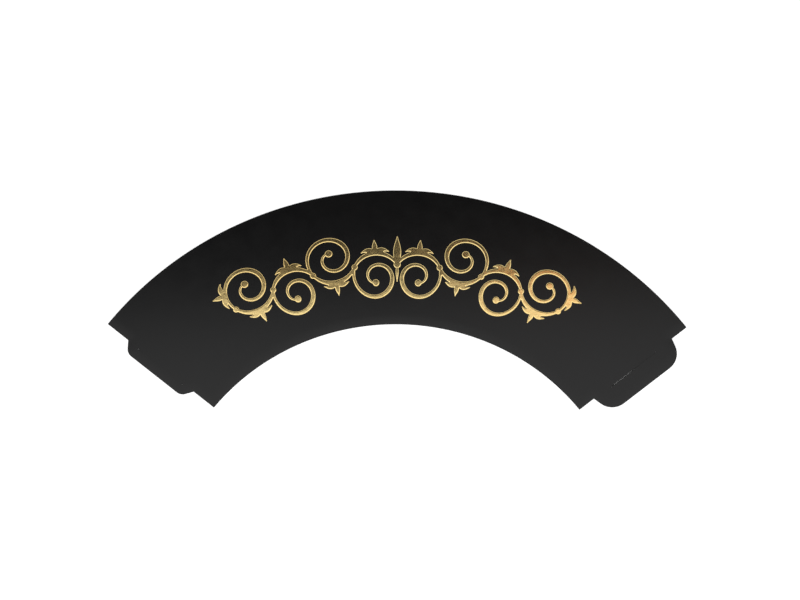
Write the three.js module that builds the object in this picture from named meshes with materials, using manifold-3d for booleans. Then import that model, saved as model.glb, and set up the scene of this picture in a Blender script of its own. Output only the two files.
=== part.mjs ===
// Flat cupcake wrapper, as it lies before it is rolled round a cake: one die-cut sheet of black card,
// shaped as the unrolled side of a cone, with a rounded tab and a locking slit at each end, and a
// scroll in gold foil stamped on its face. Millimetres, +Z up. The sheet lies face up on z = 0, with
// its long top edge towards +Y. The origin is under the middle of its bounding box.
import * as THREE from "three";
import Module from "manifold-3d";
import { mergeVertices } from "three/addons/utils/BufferGeometryUtils.js";

const { degToRad, lerp } = THREE.MathUtils;

// The blank. Rolled up, the long edge is the rim round the cake's top and the short edge is the foot.
const footRadius = 87.5;
const slantHeight = 50;
const sweepDegrees = 101.5;
const cardThickness = 0.35;

// The tabs. Shoulder is the stretch of end line beside each root, lean is how far a tab's sides
// lean in from square to the end line, and corner is the radius of its two outer corners.
const leftTab = { shoulder: 9.6, depth: 4.2, corner: 3.5, leanDegrees: 34 };
const rightTab = { shoulder: 6.8, depth: 8.4, corner: 7, leanDegrees: 14 };

// The slits, one along each tab's root, with a small round stop at each end against tearing.
const slitFromEdges = 14.5;
const slitGap = 0.1;
const slitOutsideEndLine = 0.4;
const stopDiameter = 0.3;

// The foil scroll: a waving stem whose arcs take turns to rise and to dip, and each of which runs on
// into a coil. The scroll fills the space between these margins of bare card.
const foilThickness = 0.05;
const bareAboveScroll = 14;
const bareBelowScroll = 9;
const bareBesideScroll = 35;
const arcsPerSide = 4;
const coilTurns = 1.3;
const coilEyeRadius = 2.1;
const coilWidestAt = 0.35;
const stemWidest = 1.7;
const stemNarrowest = 0.9;
const tipWidth = 0.6;
const budDiameter = 2.6;
const knotDiameter = 2.2;

// Its leaves grow in threes along the stem, as long as the coils beside them allow. Lean is how far
// the outer two turn away from the one between them, and curl is how far they bend on to their tips.
// One spray sits on each arc's crest, and a last one sits further along, this many swings past it.
const lastSprayPlace = 1.7;
const leafClearance = 0.8;
const leafWidth = 1.8;
const leafLeanDegrees = 40;
const leafCurlDegrees = 46;
const leafWidestAt = 0.42;
const leafTipWidth = 0.25;

// Two single leaves in the middle, one standing up between the first two sprays and one hanging.
const tallLeafLength = 10.5;
const tallLeafWidth = 2.8;
const hangingLeafLength = 6.5;
const hangingLeafWidth = 1.1;

// Fineness of the round stretches.
const rimSegments = 48;
const cornerSteps = 9;
const stopSteps = 10;
const strokeStepDegrees = 10;
const leafSteps = 8;
const budSteps = 16;

// Corners that lie closer together than this are one and the same corner.
const sameCorner = 1e-4;

const halfSweep = degToRad(sweepDegrees) / 2;
const rimRadius = footRadius + slantHeight;
const middleRadius = footRadius + slantHeight / 2;
const quarterTurn = Math.PI / 2;

// A point at one end of the blank, from its distance to the cone's apex along the end line and its
// distance outside that line. side is 1 at the right end and -1 at the left.
function endPoint(side, along, outside) {
  return new THREE.Vector2(
    side * (along * Math.sin(halfSweep) + outside * Math.cos(halfSweep)),
    along * Math.cos(halfSweep) - outside * Math.sin(halfSweep),
  );
}

// The outline of a tab from its inner root to its outer root: two leaning sides and round corners.
function tabOutline(side, tab) {
  const lean = degToRad(tab.leanDegrees);
  const corner = Math.min(tab.corner, tab.depth / (1 - Math.sin(lean)));
  const halfWidth = slantHeight / 2 - tab.shoulder;
  const cornerAlong =
    halfWidth - tab.depth * Math.tan(lean) - corner * Math.tan((quarterTurn - lean) / 2);
  const upperHalf = [];
  for (let i = 0; i <= cornerSteps; i++) {
    const angle = lerp(quarterTurn, lean, i / cornerSteps);
    upperHalf.push([
      cornerAlong + corner * Math.cos(angle),
      tab.depth - corner + corner * Math.sin(angle),
    ]);
  }
  upperHalf.push([halfWidth, 0]);
  const lowerHalf = upperHalf.map(([along, outside]) => [-along, outside]).reverse();
  return [...lowerHalf, ...upperHalf].map(([along, outside]) =>
    endPoint(side, middleRadius + along, outside),
  );
}

// A hairline slit with a round stop at each end.
function slitOutline(side) {
  const stopRadius = stopDiameter / 2;
  const stopAlong = slantHeight / 2 - slitFromEdges - stopRadius;
  const mouth = Math.asin(Math.min(1, slitGap / stopDiameter));
  const outerStop = [];
  for (let i = 0; i <= stopSteps; i++) {
    const angle = lerp(mouth - Math.PI, Math.PI - mouth, i / stopSteps);
    outerStop.push([stopAlong + stopRadius * Math.cos(angle), stopRadius * Math.sin(angle)]);
  }
  const innerStop = outerStop.map(([along, outside]) => [-along, -outside]);
  return [...outerStop, ...innerStop].map(([along, outside]) =>
    endPoint(side, middleRadius + along, slitOutsideEndLine + outside),
  );
}

function cardBlank() {
  const outline = new THREE.Shape();
  outline.absarc(0, 0, rimRadius, quarterTurn - halfSweep, quarterTurn + halfSweep, false);
  tabOutline(-1, leftTab).reverse().forEach((p) => outline.lineTo(p.x, p.y));
  outline.absarc(0, 0, footRadius, quarterTurn + halfSweep, quarterTurn - halfSweep, true);
  tabOutline(1, rightTab).forEach((p) => outline.lineTo(p.x, p.y));
  outline.closePath();
  outline.holes.push(new THREE.Path(slitOutline(-1)), new THREE.Path(slitOutline(1)));
  return new THREE.ExtrudeGeometry(outline, {
    depth: cardThickness,
    bevelEnabled: false,
    curveSegments: rimSegments,
  });
}

// The scroll is drawn on a straight line, as a distance s along it and a height n above it, and
// then bent onto the arc that the line follows round the blank, midway between the margins. Each
// arc of the stem swings by the same angle to both sides of its crest, so that its chord lies on
// the line and its circle reaches as far as the margin.
const scrollHalfHeight = (slantHeight - bareAboveScroll - bareBelowScroll) / 2;
const scrollRadius = footRadius + bareBelowScroll + scrollHalfHeight;
const arcWidth = (halfSweep * scrollRadius - bareBesideScroll) / arcsPerSide;
const swing = 2 * Math.atan(arcWidth / 2 / scrollHalfHeight);
const coilRadius = scrollHalfHeight / (1 + Math.cos(swing));
const arcDrop = scrollHalfHeight - coilRadius;
const leafLength = arcWidth - coilRadius - stemWidest / 2 - leafClearance;

function bendOntoCard({ x: s, y: n }) {
  const angle = s / scrollRadius;
  return new THREE.Vector2(
    (scrollRadius + n) * Math.sin(angle),
    (scrollRadius + n) * Math.cos(angle),
  );
}

// A flat piece of foil from its outline on the scroll's straight line.
function foilPatch(outline) {
  const bent = new THREE.Shape(outline.map(bendOntoCard));
  return new THREE.ExtrudeGeometry(bent, { depth: foilThickness, bevelEnabled: false });
}

// A ribbon of foil along a list of points, with its own width at each.
function stroke(line, widths) {
  const left = [];
  const right = [];
  line.forEach((p, i) => {
    const before = line[Math.max(i - 1, 0)];
    const after = line[Math.min(i + 1, line.length - 1)];
    const along = after.clone().sub(before).normalize();
    const across = new THREE.Vector2(-along.y, along.x);
    left.push(p.clone().addScaledVector(across, widths[i] / 2));
    right.unshift(p.clone().addScaledVector(across, -widths[i] / 2));
  });
  return foilPatch([...left, ...right]);
}

function roundSpot(centre, diameter) {
  const outline = [];
  for (let i = 0; i < budSteps; i++) {
    const angle = (i / budSteps) * 2 * Math.PI;
    outline.push(
      new THREE.Vector2(Math.cos(angle), Math.sin(angle)).multiplyScalar(diameter / 2).add(centre),
    );
  }
  return foilPatch(outline);
}

// A pointed leaf that sets out from its root on a heading and bends by curl on its way to the tip.
function leaf(root, heading, curl, length, width) {
  const fullness = Math.log(0.5) / Math.log(leafWidestAt);
  const line = [];
  const widths = [];
  for (let i = 0; i <= leafSteps; i++) {
    const t = i / leafSteps;
    const angle = heading + curl * t;
    line.push(
      new THREE.Vector2(Math.cos(angle), Math.sin(angle)).multiplyScalar(t * length).add(root),
    );
    widths.push(Math.max(leafTipWidth, width * Math.sin(Math.PI * Math.pow(t, fullness))));
  }
  return stroke(line, widths);
}

// Three leaves from one root.
function spray(root, heading) {
  const lean = degToRad(leafLeanDegrees);
  const curl = degToRad(leafCurlDegrees);
  return [-1, 0, 1].map((side) =>
    leaf(root, heading + side * lean, side * curl, leafLength, leafWidth),
  );
}

// One arc of the stem with the coil that it runs into, the bud in the coil's eye, the spray on the
// arc's crest and the knot where the next arc branches off. hand is 1 right of the middle and -1
// left of it.
function stemArc(index, hand) {
  const rise = index % 2 === 0 ? 1 : -1;
  const centre = new THREE.Vector2(hand * arcWidth * (index + 0.5), -rise * arcDrop);
  const coilSweep = coilTurns * 2 * Math.PI;
  const place = (angle) => {
    const wound = Math.max(0, angle - swing) / coilSweep;
    return new THREE.Vector2(hand * Math.sin(angle), rise * Math.cos(angle))
      .multiplyScalar(lerp(coilRadius, coilEyeRadius, wound))
      .add(centre);
  };

  const stem = [];
  const stemWidths = [];
  const stemSteps = Math.ceil((2 * swing) / degToRad(strokeStepDegrees));
  for (let i = 0; i <= stemSteps; i++) {
    const t = i / stemSteps;
    stem.push(place(lerp(-swing, swing, t)));
    stemWidths.push(lerp(stemNarrowest, stemWidest, Math.sin(Math.PI * t)));
  }

  const coil = [];
  const coilWidths = [];
  const coilSteps = Math.ceil(coilSweep / degToRad(strokeStepDegrees));
  for (let i = 0; i <= coilSteps; i++) {
    const t = i / coilSteps;
    coil.push(place(swing + coilSweep * t));
    coilWidths.push(
      t < coilWidestAt
        ? lerp(stemNarrowest, stemWidest, t / coilWidestAt)
        : lerp(stemWidest, tipWidth, (t - coilWidestAt) / (1 - coilWidestAt)),
    );
  }

  const sprayAngles = index === arcsPerSide - 1 ? [0, lastSprayPlace * swing] : [0];
  const sprays = sprayAngles.flatMap((angle) => {
    const root = place(angle);
    return spray(root, root.clone().sub(centre).angle());
  });
  return [
    stroke(stem, stemWidths),
    stroke(coil, coilWidths),
    roundSpot(coil[coil.length - 1], budDiameter),
    roundSpot(place(swing), knotDiameter),
    ...sprays,
  ];
}

// The middle, where the two stems set out from one bud, with a leaf above it and one below.
function middleMotif() {
  const root = new THREE.Vector2(0, 0);
  return [
    leaf(root, quarterTurn, 0, tallLeafLength, tallLeafWidth),
    roundSpot(root, budDiameter),
    leaf(root, -quarterTurn, 0, hangingLeafLength, hangingLeafWidth),
  ];
}

const wasm = await Module();
wasm.setup();

function toSolid(geometry) {
  const positions = geometry.clone();
  positions.deleteAttribute("normal");
  positions.deleteAttribute("uv");
  const merged = mergeVertices(positions, sameCorner);
  return new wasm.Manifold(
    new wasm.Mesh({
      numProp: 3,
      vertProperties: merged.attributes.position.array,
      triVerts: new Uint32Array(merged.index.array),
    }),
  );
}

function toGeometry(solid) {
  const mesh = solid.getMesh();
  return new THREE.BufferGeometry()
    .setAttribute("position", new THREE.BufferAttribute(mesh.vertProperties, 3))
    .setIndex(new THREE.BufferAttribute(mesh.triVerts, 1));
}

// The whole print is one connected film.
function foilScroll() {
  const patches = middleMotif();
  for (const hand of [-1, 1]) {
    for (let index = 0; index < arcsPerSide; index++) {
      patches.push(...stemArc(index, hand));
    }
  }
  return toGeometry(patches.map(toSolid).reduce((film, patch) => film.add(patch)));
}

const blackCard = new THREE.MeshStandardMaterial({ color: 0x242424, roughness: 0.6, metalness: 0 });
const goldFoil = new THREE.MeshStandardMaterial({ color: 0xcfa85a, roughness: 0.22, metalness: 1 });

const wrapper = new THREE.Group();

const card = new THREE.Mesh(cardBlank(), blackCard);
card.name = "card_blank";
wrapper.add(card);

const foil = new THREE.Mesh(foilScroll(), goldFoil);
foil.name = "foil_scroll";
foil.position.z = cardThickness;
wrapper.add(foil);

// The blank reaches from the feet of its end lines up to the crown of the rim.
wrapper.position.y = -(footRadius * Math.cos(halfSweep) + rimRadius) / 2;

export default wrapper;
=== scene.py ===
import math

import bmesh
import bpy
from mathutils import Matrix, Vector, kdtree


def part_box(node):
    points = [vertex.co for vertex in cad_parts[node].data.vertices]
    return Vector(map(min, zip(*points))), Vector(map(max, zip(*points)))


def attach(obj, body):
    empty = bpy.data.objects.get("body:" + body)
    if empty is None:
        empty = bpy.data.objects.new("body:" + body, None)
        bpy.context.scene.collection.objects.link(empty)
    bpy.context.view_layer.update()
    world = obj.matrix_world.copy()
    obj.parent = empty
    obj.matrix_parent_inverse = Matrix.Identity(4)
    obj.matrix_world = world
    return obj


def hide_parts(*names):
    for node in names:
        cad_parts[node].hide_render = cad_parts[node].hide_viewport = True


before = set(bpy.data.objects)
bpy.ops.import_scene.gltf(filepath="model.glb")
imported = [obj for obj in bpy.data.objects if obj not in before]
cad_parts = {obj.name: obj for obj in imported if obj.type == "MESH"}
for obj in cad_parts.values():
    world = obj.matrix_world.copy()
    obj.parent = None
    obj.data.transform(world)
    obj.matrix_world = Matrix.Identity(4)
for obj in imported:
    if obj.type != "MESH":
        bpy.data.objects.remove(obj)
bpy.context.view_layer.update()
mm = 0.001
print("frame loaded:", sorted(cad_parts))


# helpers that every piece uses

limits = {
    "sameCorner": 0.0005 * mm,   # corners this close are one corner
    "level": 0.99,               # a level face's normal rises more than this
    "flat": 0.9,                 # and more than this where it only has to differ from a wall's
    "upright": 0.1,              # a wall's normal rises less than this
    "crease": math.radians(40),  # edges sharper than this stay sharp
}


def mergedCopy(node):
    # the CAD mesh is loose triangles, so its corners are joined first
    bm = bmesh.new()
    bm.from_mesh(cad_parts[node].data)
    bmesh.ops.remove_doubles(bm, verts=bm.verts, dist=limits["sameCorner"])
    return bm


def addObject(name, bm):
    mesh = bpy.data.meshes.new(name)
    bm.to_mesh(mesh)
    bm.free()
    obj = bpy.data.objects.new(name, mesh)
    bpy.context.scene.collection.objects.link(obj)
    return obj


def isRim(edge):
    # an edge where a level face meets a wall or a rounding
    flat = [abs(f.normal.z) > limits["flat"] for f in edge.link_faces]
    return len(flat) == 2 and flat[0] != flat[1]


def pointsAlong(a, b, step):
    steps = max(1, math.ceil((b - a).length / step))
    return [a.lerp(b, i / steps) for i in range(steps)]


def planTree(points):
    # finds which of the points is nearest as seen from above
    tree = kdtree.KDTree(len(points))
    for i, point in enumerate(points):
        tree.insert((point.x, point.y, 0), i)
    tree.balance()
    return tree


def markInward(bm, tree, width):
    # 0 on the outline and 1 where the surface has stopped falling
    inward = bm.verts.layers.float.new("inward")
    for v in bm.verts:
        v[inward] = min(1.0, tree.find((v.co.x, v.co.y, 0))[2] / width)
    return inward


def addNode(tree, kind, values=None, **settings):
    node = tree.nodes.new(kind)
    for key, value in settings.items():
        setattr(node, key, value)
    for key, value in (values or {}).items():
        node.inputs[key].default_value = value
    return node


def objectCoords(tree):
    return addNode(tree, "ShaderNodeTexCoord").outputs["Object"]


def newMaterial(name):
    material = bpy.data.materials.new(name)
    material.use_nodes = True
    tree = material.node_tree
    return material, tree, tree.nodes["Principled BSDF"]


def newGroup(name, ins, outs):
    group = bpy.data.node_groups.new(name, "ShaderNodeTree")
    for label, kind, value in ins:
        socket = group.interface.new_socket(label, in_out="INPUT", socket_type=kind)
        if value is not None:
            socket.default_value = value
    for label, kind in outs:
        group.interface.new_socket(label, in_out="OUTPUT", socket_type=kind)
    return group, addNode(group, "NodeGroupInput"), addNode(group, "NodeGroupOutput")


# shared effects

swellNoise = {"Scale": 16.0, "Detail": 1.0, "Roughness": 0.4}
strandNoise = {"Detail": 3.0, "Roughness": 0.6, "Distortion": 0.8}
cloudNoise = {"Scale": 170.0, "Detail": 4.0, "Roughness": 0.55}
noiseReach = {"From Min": 0.3, "From Max": 0.7}  # a noise's values lie mostly between these


def makeSheetWaves():
    # the slight unevenness of a card that lies loose: long soft swells, from 0 to Height
    group, given, result = newGroup(
        "sheetWaves",
        [("Vector", "NodeSocketVector", None), ("Height", "NodeSocketFloat", 1.0)],
        [("Height", "NodeSocketFloat")],
    )
    swell = addNode(group, "ShaderNodeTexNoise", swellNoise)
    times = addNode(group, "ShaderNodeMath", operation="MULTIPLY")
    group.links.new(given.outputs["Vector"], swell.inputs["Vector"])
    group.links.new(swell.outputs["Fac"], times.inputs[0])
    group.links.new(given.outputs["Height"], times.inputs[1])
    group.links.new(times.outputs[0], result.inputs["Height"])
    return group


def makePaperFibre():
    # pressed fibres: a fine felt of short strands over a cloudier formation
    group, given, result = newGroup(
        "paperFibre",
        [("Vector", "NodeSocketVector", None), ("Strands", "NodeSocketFloat", 2600.0)],
        [("Felt", "NodeSocketFloat"), ("Cloud", "NodeSocketFloat")],
    )
    strands = addNode(group, "ShaderNodeTexNoise", strandNoise)
    cloud = addNode(group, "ShaderNodeTexNoise", cloudNoise)
    group.links.new(given.outputs["Vector"], strands.inputs["Vector"])
    group.links.new(given.outputs["Strands"], strands.inputs["Scale"])
    group.links.new(given.outputs["Vector"], cloud.inputs["Vector"])
    group.links.new(strands.outputs["Fac"], result.inputs["Felt"])
    group.links.new(cloud.outputs["Fac"], result.inputs["Cloud"])
    return group


def makeSheetBow():
    # the sheet lies with its middle a little proud, in metres of height
    group, given, result = newGroup(
        "sheetBow",
        [("Vector", "NodeSocketVector", None), ("Bow", "NodeSocketFloat", 1.0)],
        [("Height", "NodeSocketFloat")],
    )
    split = addNode(group, "ShaderNodeSeparateXYZ")
    square = addNode(group, "ShaderNodeMath", operation="MULTIPLY")
    times = addNode(group, "ShaderNodeMath", operation="MULTIPLY")
    half = addNode(group, "ShaderNodeMath", {1: -0.5}, operation="MULTIPLY")
    group.links.new(given.outputs["Vector"], split.inputs["Vector"])
    group.links.new(split.outputs["Y"], square.inputs[0])
    group.links.new(split.outputs["Y"], square.inputs[1])
    group.links.new(square.outputs[0], times.inputs[0])
    group.links.new(given.outputs["Bow"], times.inputs[1])
    group.links.new(times.outputs[0], half.inputs[0])
    group.links.new(half.outputs[0], result.inputs["Height"])
    return group


sheetBow = makeSheetBow()
sheetWaves = makeSheetWaves()
paperFibre = makePaperFibre()


def addGroup(tree, group, coords, label, value):
    node = addNode(tree, "ShaderNodeGroup", node_tree=group)
    node.inputs[label].default_value = value
    tree.links.new(coords, node.inputs["Vector"])
    return node


def spread(tree, source, low, high):
    node = addNode(tree, "ShaderNodeMapRange", {**noiseReach, "To Min": low, "To Max": high})
    tree.links.new(source, node.inputs["Value"])
    return node.outputs["Result"]


def blendColours(tree, factor, dark, light):
    node = addNode(tree, "ShaderNodeMix", data_type="RGBA")
    node.inputs["A"].default_value = (*dark, 1)
    node.inputs["B"].default_value = (*light, 1)
    tree.links.new(factor, node.inputs["Factor"])
    return node.outputs["Result"]


def addBump(tree, height, distance, before=None):
    node = addNode(tree, "ShaderNodeBump", {"Strength": 1.0, "Distance": distance})
    tree.links.new(height, node.inputs["Height"])
    if before:
        tree.links.new(before, node.inputs["Normal"])
    return node.outputs["Normal"]


def addFall(tree):
    # 1 well inside, falling to 0 at the piece's outline, level where it sets out
    inward = addNode(tree, "ShaderNodeAttribute", attribute_name="inward")
    outward = addNode(tree, "ShaderNodeMath", {0: 1.0}, operation="SUBTRACT")
    square = addNode(tree, "ShaderNodeMath", operation="MULTIPLY")
    height = addNode(tree, "ShaderNodeMath", {0: 1.0}, operation="SUBTRACT")
    tree.links.new(inward.outputs["Fac"], outward.inputs[1])
    tree.links.new(outward.outputs[0], square.inputs[0])
    tree.links.new(outward.outputs[0], square.inputs[1])
    tree.links.new(square.outputs[0], height.inputs[1])
    return height.outputs[0]


# the card: one die-cut sheet, dyed black through

cardLook = {
    "edgeRound": 0.14 * mm,
    "edgeSegments": 3,
    "flatten": math.radians(0.1),  # triangles this level with each other become one face
    "cell": 1.25 * mm,             # the printed face is cut up this finely
    "outlineStep": 0.2 * mm,
    "bow": 1.0,                    # how fast the face tilts away from the middle, per metre
    "curlWidth": 4.0 * mm,         # the face falls away to the cut edge over this width
    "curlDrop": 0.08 * mm,
    "dark": (0.0025, 0.0025, 0.0026),
    "light": (0.0034, 0.0034, 0.0034),
    "sheen": 0.3,
    "roughness": (0.21, 0.235),
    "strands": 2600.0,             # cells of felt per metre
    "feltHeight": 0.0012 * mm,
    "waveHeight": 0.02 * mm,
    "cutDark": (0.0015, 0.0015, 0.0015),
    "cutLight": (0.004, 0.0039, 0.0038),
    "cutSheen": 0.06,
    "cutRoughness": 0.9,
    "cutStrands": 5200.0,
    "cutFeltHeight": 0.0048 * mm,
}

slitLook = {
    "cuts": 14,
    "wallLength": 10 * mm,       # a slit's straight walls are longer than this
    "reach": 0.4 * mm,           # every corner of a slit lies this close to its line
    "beyond": 1.0 * mm,          # and no further than this past its ends
    "stopLength": 0.32 * mm,     # the wider stop at each end of a slit
    # the shares of the solid's gap that stay open
    "left": {"rimEnd": 0.1, "footEnd": 0.1, "stops": 0.5},
    "right": {"rimEnd": 0.45, "footEnd": 1.3, "stops": 0.4},
    "opensFrom": 0.35,           # the share of its length where a slit starts to open
    "opensTo": 0.6,
}


def makeCardFace():
    material, tree, shader = newMaterial("blackCardFace")
    coords = objectCoords(tree)
    fibre = addGroup(tree, paperFibre, coords, "Strands", cardLook["strands"])
    tone = spread(tree, fibre.outputs["Cloud"], 0.0, 1.0)
    colour = blendColours(tree, tone, cardLook["dark"], cardLook["light"])
    tree.links.new(colour, shader.inputs["Base Color"])
    gloss = spread(tree, fibre.outputs["Cloud"], *cardLook["roughness"])
    tree.links.new(gloss, shader.inputs["Roughness"])
    bow = addGroup(tree, sheetBow, coords, "Bow", cardLook["bow"]).outputs["Height"]
    swell = addGroup(tree, sheetWaves, coords, "Height", 1.0).outputs["Height"]
    bowed = addBump(tree, bow, 1.0)
    curled = addBump(tree, addFall(tree), cardLook["curlDrop"], before=bowed)
    waves = addBump(tree, swell, cardLook["waveHeight"], before=curled)
    felt = addBump(tree, fibre.outputs["Felt"], cardLook["feltHeight"], before=waves)
    tree.links.new(felt, shader.inputs["Normal"])
    shader.inputs["Specular IOR Level"].default_value = cardLook["sheen"]
    return material


def makeCardCut():
    # the cut edge shows the ends of the fibres, so it is rough and has next to no sheen
    material, tree, shader = newMaterial("blackCardCut")
    fibre = addGroup(tree, paperFibre, objectCoords(tree), "Strands", cardLook["cutStrands"])
    tone = spread(tree, fibre.outputs["Felt"], 0.0, 1.0)
    colour = blendColours(tree, tone, cardLook["cutDark"], cardLook["cutLight"])
    tree.links.new(colour, shader.inputs["Base Color"])
    torn = addBump(tree, fibre.outputs["Felt"], cardLook["cutFeltHeight"])
    tree.links.new(torn, shader.inputs["Normal"])
    shader.inputs["Roughness"].default_value = cardLook["cutRoughness"]
    shader.inputs["Specular IOR Level"].default_value = cardLook["cutSheen"]
    return material


def topLoops(bm, high):
    # the loops of edges round the printed face, longest last: the two slits and the outline
    lowest = high.z - cardLook["edgeRound"]
    rest = {e for e in bm.edges if isRim(e) and min(v.co.z for v in e.verts) > lowest}
    loops = []
    while rest:
        loop, front = [], [rest.pop()]
        while front:
            edge = front.pop()
            loop.append(edge)
            near = {e for v in edge.verts for e in v.link_edges} & rest
            rest -= near
            front.extend(near)
        loops.append(loop)
    return sorted(loops, key=lambda loop: sum(e.calc_length() for e in loop))


def slitEnds(loop):
    # the two corners furthest apart, the one at the rim end first
    corners = {v for e in loop for v in e.verts}
    first = max(corners, key=lambda v: v.co.y)
    last = max(corners, key=lambda v: (v.co - first.co).length)
    return first.co.xy, last.co.xy


def slitPlace(point, rimEnd, footEnd):
    # how far along the slit a point lies and its step beside it, or None if it isn't of the slit
    along = (footEnd - rimEnd).normalized()
    across = along.orthogonal()
    place = (point - rimEnd).dot(along)
    offset = (point - rimEnd).dot(across)
    beyond = slitLook["beyond"]
    if abs(offset) > slitLook["reach"] or not -beyond < place < (footEnd - rimEnd).length + beyond:
        return None
    return place, across * offset


def isSlitEdge(edge, ends):
    middle = (edge.verts[0].co.xy + edge.verts[1].co.xy) / 2
    return any(slitPlace(middle, *end) for end in ends)


def lipShare(place, length, look):
    # how much of the solid's gap stays open at this place
    if min(place, length - place) < slitLook["stopLength"]:
        return look["stops"]
    run = slitLook["opensTo"] - slitLook["opensFrom"]
    opening = (place / length - slitLook["opensFrom"]) / run
    return look["rimEnd"] + (look["footEnd"] - look["rimEnd"]) * min(1.0, max(0.0, opening))


def closeSlit(bm, rimEnd, footEnd, look):
    # the lips of a knife cut lie together where nothing holds them open
    length = (footEnd - rimEnd).length
    for v in bm.verts:
        if not any(abs(f.normal.z) < limits["upright"] for f in v.link_faces):
            continue
        found = slitPlace(v.co.xy, rimEnd, footEnd)
        if found:
            place, aside = found
            shift = aside * (lipShare(place, length, look) - 1.0)
            v.co.x += shift.x
            v.co.y += shift.y


def cutUpFace(bm, low, high):
    # evenly spaced cuts through the printed face, so that it can carry its distance to the outline
    for axis in (0, 1):
        for i in range(1, int((high[axis] - low[axis]) / cardLook["cell"]) + 1):
            place = [0.0, 0.0, 0.0]
            normal = [0.0, 0.0, 0.0]
            place[axis] = low[axis] + i * cardLook["cell"]
            normal[axis] = 1.0
            top = [f for f in bm.faces if f.normal.z > limits["level"]]
            near = {e for f in top for e in f.edges} | {v for f in top for v in f.verts}
            bmesh.ops.bisect_plane(
                bm,
                geom=[*top, *near],
                dist=2 * limits["sameCorner"],
                plane_co=place,
                plane_no=normal,
            )


def rimCircle(loop, high):
    # the rim's arc runs through the outline's top and its widest corner
    corner = max((v.co for e in loop for v in e.verts), key=lambda co: co.x)
    sag = high.y - corner.y
    radius = (corner.x**2 + sag**2) / (2 * sag)
    return Vector((0, high.y - radius)), radius


def fallingEdge(loop, high):
    # points along the foot, the ends and the tabs: the face stays level at the rim
    apex, rim = rimCircle(loop, high)
    points = []
    for edge in loop:
        a, b = (v.co.copy() for v in edge.verts)
        if all(abs((co.xy - apex).length - rim) < cardLook["edgeRound"] for co in (a, b)):
            continue
        points.extend(pointsAlong(a, b, cardLook["outlineStep"]))
    return points


def makeCard():
    low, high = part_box("card_blank")
    bm = mergedCopy("card_blank")
    bmesh.ops.dissolve_limit(bm, angle_limit=cardLook["flatten"], verts=bm.verts, edges=bm.edges)
    *slits, outline = topLoops(bm, high)
    points = fallingEdge(outline, high)
    ends = [slitEnds(loop) for loop in slits]
    long = [e for e in bm.edges if isRim(e) and e.calc_length() > slitLook["wallLength"]]
    walls = [e for e in long if isSlitEdge(e, ends)]
    bmesh.ops.subdivide_edges(bm, edges=walls, cuts=slitLook["cuts"])
    bmesh.ops.bevel(
        bm,
        geom=[e for e in bm.edges if isRim(e) and not isSlitEdge(e, ends)],
        offset=cardLook["edgeRound"],
        offset_type="OFFSET",
        affect="EDGES",
        segments=cardLook["edgeSegments"],
        profile=0.5,
        material=-1,
        clamp_overlap=True,
    )
    bmesh.ops.triangulate(bm, faces=[f for f in bm.faces if f.normal.z > limits["level"]])
    cutUpFace(bm, low, high)
    markInward(bm, planTree(points), cardLook["curlWidth"])
    for rimEnd, footEnd in ends:
        closeSlit(bm, rimEnd, footEnd, slitLook["right" if rimEnd.x > 0 else "left"])
    bm.normal_update()
    for face in bm.faces:
        level = abs(face.normal.z) > limits["level"]
        face.material_index = 0 if level else 1
        face.smooth = not level
    for edge in bm.edges:
        edge.smooth = edge.is_manifold and edge.calc_face_angle() < limits["crease"]
    card = addObject("wrapperCard", bm)
    card.data.materials.append(makeCardFace())
    card.data.materials.append(makeCardCut())
    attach(card, "root")
    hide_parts("card_blank")
    return card


card = makeCard()
print("card made:", len(card.data.polygons), "faces")


# the foil: a pressed film whose rims fall away to the card

foilLook = {
    "detail": 0.13,       # mm between the points of its fine surface
    "stretch": 16,        # how much thicker it is while that surface is made
    "topAbove": 0.6,      # only faces whose normals rise more than this are kept
    "smoothing": 3,
    "outlineStep": 0.04,  # mm
    "snap": 0.25,         # mm within which a rim point is laid on the true outline
    "shortest": 0.02,     # mm, shorter edges are dissolved
    "folded": 0.5,        # a face whose normal rises less than this has folded over
    "rimWidth": 0.29,     # mm from the outline to the level part
    "rimFall": 0.8,       # the share of its thickness that the film falls at its rim
    "rimDrop": 0.075 * mm,
    "colour": (0.85, 0.67, 0.30),
    "warm": (0.84, 0.60, 0.24),
    "tintNoise": {"Scale": 22.0, "Detail": 1.0},
    "roughness": (0.13, 0.17),
    "peelNoise": {"Scale": 450.0, "Detail": 2.0},
    "peelHeight": 0.02 * mm,
}


def evenFoil():
    # works in millimetres, because the remesh has a smallest cell
    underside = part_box("foil_scroll")[0].z
    bm = mergedCopy("foil_scroll")
    bmesh.ops.translate(bm, verts=bm.verts, vec=(0, 0, -underside))
    bmesh.ops.scale(bm, verts=bm.verts, vec=(1 / mm, 1 / mm, foilLook["stretch"] / mm))
    rough = addObject("foilRough", bm)
    remesh = rough.modifiers.new("even", "REMESH")
    remesh.mode = "VOXEL"
    remesh.voxel_size = foilLook["detail"]
    shown = rough.evaluated_get(bpy.context.evaluated_depsgraph_get())
    even = bmesh.new()
    even.from_mesh(shown.to_mesh())
    shown.to_mesh_clear()
    bpy.data.objects.remove(rough)
    return even


def smoothPlan(bm, verts):
    bmesh.ops.smooth_vert(
        bm, verts=verts, factor=0.5, use_axis_x=True, use_axis_y=True, use_axis_z=False
    )


def foilOutline():
    # closely spaced points along the film's true outline, in millimetres
    bm = mergedCopy("foil_scroll")
    points = []
    for edge in bm.edges:
        if isRim(edge):
            a, b = (Vector((v.co.x, v.co.y, 0)) / mm for v in edge.verts)
            points.extend(pointsAlong(a, b, foilLook["outlineStep"]))
    bm.free()
    return points


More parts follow.
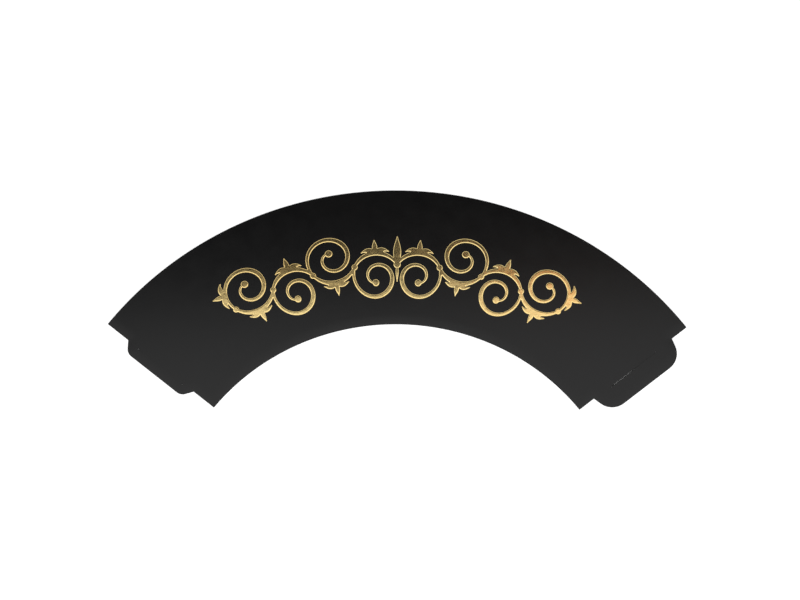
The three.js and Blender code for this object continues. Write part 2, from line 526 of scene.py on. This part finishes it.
def trueOutline(bm):
    # the fine surface is stepped at its rims, so they are laid on the outline again
    tree = planTree(foilOutline())
    inner = [v for v in bm.verts if not v.is_boundary]
    for v in bm.verts:
        if v.is_boundary:
            place, _, away = tree.find((v.co.x, v.co.y, 0))
            if away < foilLook["snap"]:
                v.co.x, v.co.y = place.x, place.y
    smoothPlan(bm, inner)
    bmesh.ops.dissolve_degenerate(bm, dist=foilLook["shortest"], edges=bm.edges)
    bm.normal_update()
    folded = [f for f in bm.faces if f.normal.z < foilLook["folded"]]
    bmesh.ops.collapse(bm, edges=list({e for f in folded for e in f.edges}))


def pressRims(bm, low, high):
    # a point's height follows its distance to the outline
    tree = planTree([v.co for v in bm.verts if v.is_boundary])
    inward = markInward(bm, tree, foilLook["rimWidth"])
    for v in bm.verts:
        fall = 1.0 - v[inward]
        v.co.z = (low + (high - low) * (1.0 - foilLook["rimFall"] * fall * fall)) / mm


def makeFoilFilm():
    material, tree, shader = newMaterial("goldFoil")
    coords = objectCoords(tree)
    tint = addNode(tree, "ShaderNodeTexNoise", foilLook["tintNoise"])
    tree.links.new(coords, tint.inputs["Vector"])
    tone = spread(tree, tint.outputs["Fac"], 0.0, 1.0)
    colour = blendColours(tree, tone, foilLook["colour"], foilLook["warm"])
    tree.links.new(colour, shader.inputs["Base Color"])
    fibre = addGroup(tree, paperFibre, coords, "Strands", cardLook["strands"])
    gloss = spread(tree, fibre.outputs["Cloud"], *foilLook["roughness"])
    tree.links.new(gloss, shader.inputs["Roughness"])
    bow = addGroup(tree, sheetBow, coords, "Bow", cardLook["bow"]).outputs["Height"]
    swell = addGroup(tree, sheetWaves, coords, "Height", 1.0).outputs["Height"]
    bowed = addBump(tree, bow, 1.0)
    waves = addBump(tree, swell, cardLook["waveHeight"], before=bowed)
    peel = addNode(tree, "ShaderNodeTexNoise", foilLook["peelNoise"])
    tree.links.new(coords, peel.inputs["Vector"])
    peeled = addBump(tree, peel.outputs["Fac"], foilLook["peelHeight"], before=waves)
    pressed = addBump(tree, addFall(tree), foilLook["rimDrop"], before=peeled)
    tree.links.new(pressed, shader.inputs["Normal"])
    shader.inputs["Metallic"].default_value = 1.0
    return material


def makeFoil():
    low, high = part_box("foil_scroll")
    bm = evenFoil()
    below = [f for f in bm.faces if f.normal.z < foilLook["topAbove"]]
    bmesh.ops.delete(bm, geom=below, context="FACES")
    for _ in range(foilLook["smoothing"]):
        smoothPlan(bm, bm.verts)
    trueOutline(bm)
    pressRims(bm, low.z, high.z)
    for face in bm.faces:
        face.smooth = True
    skirt = bmesh.ops.extrude_edge_only(bm, edges=[e for e in bm.edges if e.is_boundary])["geom"]
    for v in skirt:
        if isinstance(v, bmesh.types.BMVert):
            v.co.z = low.z / mm
    bmesh.ops.holes_fill(bm, edges=[e for e in bm.edges if e.is_boundary], sides=0)
    bmesh.ops.scale(bm, verts=bm.verts, vec=(mm, mm, mm))
    bmesh.ops.recalc_face_normals(bm, faces=bm.faces)
    foil = addObject("foilFilm", bm)
    foil.data.set_sharp_from_angle(angle=limits["crease"])
    foil.data.materials.append(makeFoilFilm())
    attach(foil, "root")
    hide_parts("foil_scroll")
    return foil


foil = makeFoil()
print("foil made:", len(foil.data.polygons), "faces")


# the floor

floorLook = {
    "radius": 4.0,
    "segments": 96,
    "below": 0.05 * mm,
    "colour": (0.82, 0.82, 0.82),
    "roughness": 0.9,
    "lift": 0.5,  # its own glow, which shows but lights nothing
}


def makeFloor():
    bm = bmesh.new()
    bmesh.ops.create_circle(
        bm, cap_ends=True, segments=floorLook["segments"], radius=floorLook["radius"]
    )
    bmesh.ops.translate(bm, verts=bm.verts, vec=(0, 0, -floorLook["below"]))
    floor = addObject("floor", bm)
    material, tree, shader = newMaterial("paleFloor")
    shader.inputs["Base Color"].default_value = (*floorLook["colour"], 1)
    shader.inputs["Roughness"].default_value = floorLook["roughness"]
    shader.inputs["Specular IOR Level"].default_value = 0.0
    shader.inputs["Emission Color"].default_value = (1, 1, 1, 1)
    rays = addNode(tree, "ShaderNodeLightPath")
    seen = addNode(tree, "ShaderNodeMath", operation="MAXIMUM")
    through = addNode(tree, "ShaderNodeMath", operation="MAXIMUM")
    lift = addNode(tree, "ShaderNodeMath", {1: floorLook["lift"]}, operation="MULTIPLY")
    tree.links.new(rays.outputs["Is Camera Ray"], seen.inputs[0])
    tree.links.new(rays.outputs["Is Glossy Ray"], seen.inputs[1])
    tree.links.new(seen.outputs[0], through.inputs[0])
    tree.links.new(rays.outputs["Is Transmission Ray"], through.inputs[1])
    tree.links.new(through.outputs[0], lift.inputs[0])
    tree.links.new(lift.outputs[0], shader.inputs["Emission Strength"])
    floor.data.materials.append(material)


makeFloor()
print("floor made")


# the lights

panels = {
    "frontPanel": {
        "place": (0.0, -0.94, 1.5),
        "size": (2.4, 1.2),
        "tilt": (0, 0, 5.5),  # degrees
        "power": 11.5,
        "colour": (1, 1, 1),
    },
    "copperCard": {  # its reflection warms the foil's right end
        "place": (0.15, -0.30, 1.5),
        "size": (0.09, 0.06),
        "tilt": (0, 0, 0),
        "power": 0.026,
        "colour": (1, 0.38, 0.12),
    },
}
studio = {
    "wall": 1.0,          # how bright the white is
    "ceiling": 0.02,      # and the opening overhead
    "wallTop": 0.75,      # the z of the directions where the white starts to fade
    "ceilingEdge": 0.93,  # and where it has faded
}


def makeLights():
    for name, look in panels.items():
        lamp = bpy.data.lights.new(name, "AREA")
        lamp.shape = "RECTANGLE"
        lamp.size, lamp.size_y = look["size"]
        lamp.energy = look["power"]
        lamp.color = look["colour"]
        obj = bpy.data.objects.new(name, lamp)
        obj.location = look["place"]
        obj.rotation_euler = [math.radians(a) for a in look["tilt"]]
        bpy.context.scene.collection.objects.link(obj)


def makeWorld():
    # white all round, with a dark opening overhead for the camera
    world = bpy.data.worlds.new("studio")
    world.use_nodes = True
    tree = world.node_tree
    back = tree.nodes["Background"]
    back.inputs["Color"].default_value = (1, 1, 1, 1)
    direction = addNode(tree, "ShaderNodeTexCoord")
    split = addNode(tree, "ShaderNodeSeparateXYZ")
    height = addNode(
        tree,
        "ShaderNodeMapRange",
        {
            "From Min": studio["wallTop"],
            "From Max": studio["ceilingEdge"],
            "To Min": studio["wall"],
            "To Max": studio["ceiling"],
        },
        interpolation_type="SMOOTHSTEP",
    )
    tree.links.new(direction.outputs["Generated"], split.inputs["Vector"])
    tree.links.new(split.outputs["Z"], height.inputs["Value"])
    tree.links.new(height.outputs["Result"], back.inputs["Strength"])
    bpy.context.scene.world = world


makeLights()
makeWorld()
print("lights made:", len(panels))


# the camera

view = {
    "place": (0.00724, 0.2033, 0.8951),
    "turn": (-12.781, 0.4466, 0.2335),  # degrees
    "lens": 112.5,
    "sensor": 36.0,
    "clipStart": 0.01,
}


def makeCamera():
    lens = bpy.data.cameras.new("photoCamera")
    lens.lens = view["lens"]
    lens.sensor_width = view["sensor"]
    lens.clip_start = view["clipStart"]
    camera = bpy.data.objects.new("photoCamera", lens)
    camera.location = view["place"]
    camera.rotation_euler = [math.radians(a) for a in view["turn"]]
    bpy.context.scene.collection.objects.link(camera)
    bpy.context.scene.camera = camera


makeCamera()
bpy.context.scene.view_settings.view_transform = "Standard"
print("camera made")
